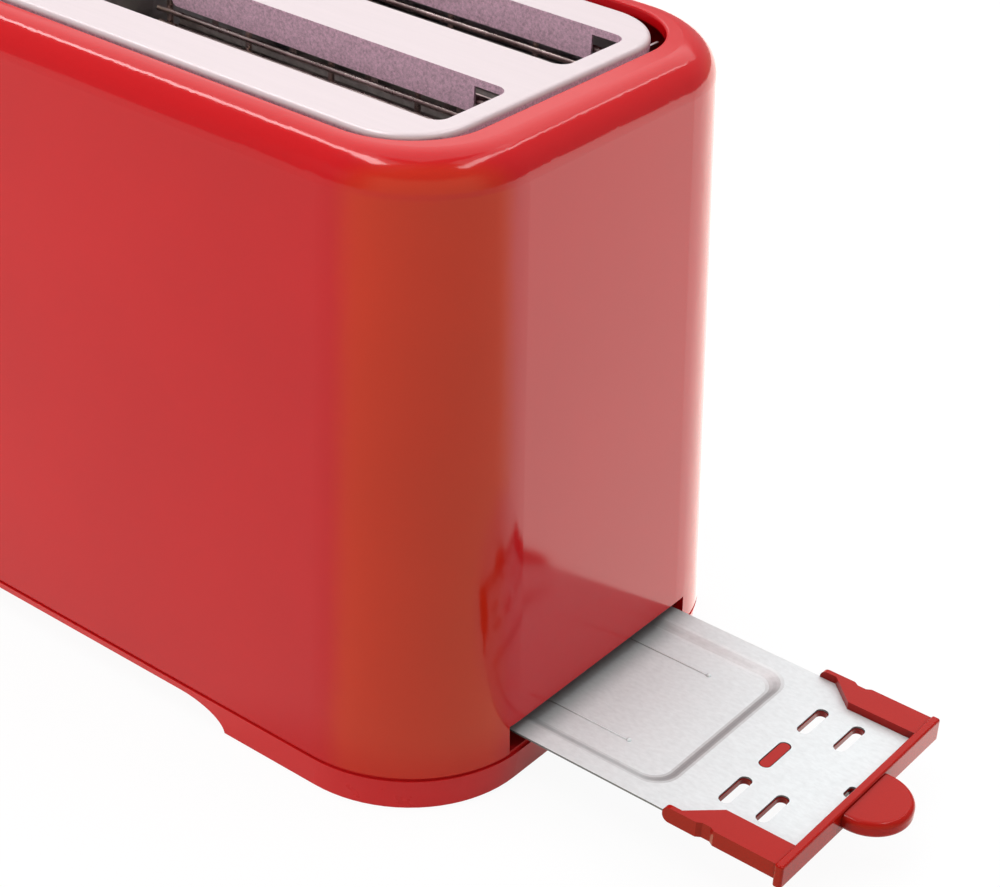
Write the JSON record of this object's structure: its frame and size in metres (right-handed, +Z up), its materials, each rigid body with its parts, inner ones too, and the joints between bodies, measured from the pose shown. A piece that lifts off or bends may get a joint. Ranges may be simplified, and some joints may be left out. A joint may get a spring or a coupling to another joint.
{
  "type": "pop up toaster",
  "caption": "Two slot pop up toaster with a rounded red housing, bright slotted top plate, side lever and a crumb tray that slides out of one end.",
  "frame": {"origin": "middle of the whole outline's box on the table plane, with the crumb tray drawn out as pictured", "axes": "+X along the toaster towards the crumb tray end, +Y towards the back long side, +Z up"},
  "size_m": [0.3748, 0.155, 0.1855],
  "materials": {
    "red_housing": "glossy moulded plastic",
    "red_base": "satin moulded plastic",
    "red_handle": "glossy moulded plastic",
    "plate_steel": "fine brushed stainless sheet",
    "tray_steel": "plain bright sheet",
    "chassis_steel": "zinc coated sheet",
    "guard_steel": "bright drawn wire",
    "bright_steel": "ground rod, screws and spring wire",
    "mica_board": "mica sheet",
    "heater_alloy": "oxidised resistance ribbon",
    "black_plastic": "satin moulded plastic",
    "dark_moulding": "inner moulding",
    "foot_rubber": "matt rubber",
    "copper_wire": "enamelled copper winding",
    "board_green": "coated circuit board",
    "soft_iron": "plated iron",
    "capacitor_can": "drawn can",
    "lead_sleeve": "glass braid sleeve",
    "contact_brass": "spring brass"
  },
  "bodies": {
    "housing": {"body_shell": "red_housing", "base": "red_base", "rubber_feet": "foot_rubber", "body_screws": "bright_steel", "chassis_screws": "bright_steel", "top_plate": "plate_steel", "chassis_tray_end": "chassis_steel", "chassis_lever_end": "chassis_steel", "chassis_side_front": "chassis_steel", "chassis_side_back": "chassis_steel", "heater_board_front": "mica_board", "heater_board_centre": "mica_board", "heater_board_back": "mica_board", "heater_ribbon_front": "heater_alloy", "heater_ribbon_centre": "heater_alloy", "heater_ribbon_back": "heater_alloy", "guide_rod": "bright_steel", "rod_clip": "bright_steel", "lift_spring": "bright_steel", "magnet_yoke": "soft_iron", "magnet_core": "soft_iron", "magnet_bobbin": "dark_moulding", "magnet_winding": "copper_wire", "circuit_board": "board_green", "board_screws": "bright_steel", "dial_sensor": "dark_moulding", "button_switches": "dark_moulding", "control_chip": "dark_moulding", "capacitor": "capacitor_can", "switch_block": "dark_moulding", "switch_leaves": "contact_brass", "terminal_block": "dark_moulding", "cord_gland": "black_plastic", "internal_leads": "lead_sleeve"},
    "carriage_assembly": {"carriage": "chassis_steel", "carriage_bush": "dark_moulding", "bread_lifter_front": "guard_steel", "bread_lifter_back": "guard_steel", "armature": "soft_iron", "lever_knob": "black_plastic"},
    "tray_assembly": {"crumb_tray": "tray_steel", "crumb_tray_handle": "red_handle"},
    "dial_assembly": {"browning_dial": "black_plastic", "dial_shaft": "dark_moulding"},
    "defrost_key": {"defrost_button": "black_plastic"},
    "cancel_key": {"cancel_button": "black_plastic"},
    "reheat_key": {"reheat_button": "black_plastic"},
    "front_outer_guard": {"guard_front_outer": "guard_steel"},
    "front_inner_guard": {"guard_front_inner": "guard_steel"},
    "back_inner_guard": {"guard_back_inner": "guard_steel"},
    "back_outer_guard": {"guard_back_outer": "guard_steel"}
  },
  "joints": [
    {"name": "lever_slide", "type": "slide", "parent": "housing", "child": "carriage_assembly", "axis": [0, 0, 1], "range_m": [-0.055, 0], "stiffness_N_per_m": 80, "springref_m": 0.06, "deforming": ["lift_spring"]},
    {"name": "tray_slide", "type": "slide", "parent": "housing", "child": "tray_assembly", "axis": [1, 0, 0], "range_m": [-0.0856, 0.09]},
    {"name": "dial_turn", "type": "hinge", "parent": "housing", "child": "dial_assembly", "pos_m": [-0.1719, 0, 0.042], "axis": [-0.998, 0, 0.0628], "range_deg": [-140, 140]},
    {"name": "defrost_press", "type": "slide", "parent": "housing", "child": "defrost_key", "axis": [0.998, 0, -0.0628], "range_m": [0, 0.0018], "stiffness_N_per_m": 300, "springref_m": -0.001},
    {"name": "cancel_press", "type": "slide", "parent": "housing", "child": "cancel_key", "axis": [0.998, 0, -0.0628], "range_m": [0, 0.0018], "stiffness_N_per_m": 300, "springref_m": -0.001},
    {"name": "reheat_press", "type": "slide", "parent": "housing", "child": "reheat_key", "axis": [0.998, 0, -0.0628], "range_m": [0, 0.0018], "stiffness_N_per_m": 300, "springref_m": -0.001},
    {"name": "front_outer_swing", "type": "hinge", "parent": "housing", "child": "front_outer_guard", "pos_m": [-0.01282, -0.0417, 0.178], "axis": [1, 0, 0], "range_deg": [0, 3.2]},
    {"name": "front_inner_swing", "type": "hinge", "parent": "housing", "child": "front_inner_guard", "pos_m": [-0.01282, -0.009, 0.178], "axis": [1, 0, 0], "range_deg": [-3.2, 0]},
    {"name": "back_inner_swing", "type": "hinge", "parent": "housing", "child": "back_inner_guard", "pos_m": [-0.01282, 0.009, 0.178], "axis": [1, 0, 0], "range_deg": [0, 3.2]},
    {"name": "back_outer_swing", "type": "hinge", "parent": "housing", "child": "back_outer_guard", "pos_m": [-0.01282, 0.0417, 0.178], "axis": [1, 0, 0], "range_deg": [-3.2, 0]}
  ],
  "couplings": [
    {"joint": "front_outer_swing", "follows": "lever_slide", "rad_per_m": -0.952},
    {"joint": "front_inner_swing", "follows": "lever_slide", "rad_per_m": 0.952},
    {"joint": "back_inner_swing", "follows": "lever_slide", "rad_per_m": -0.952},
    {"joint": "back_outer_swing", "follows": "lever_slide", "rad_per_m": 0.952}
  ]
}
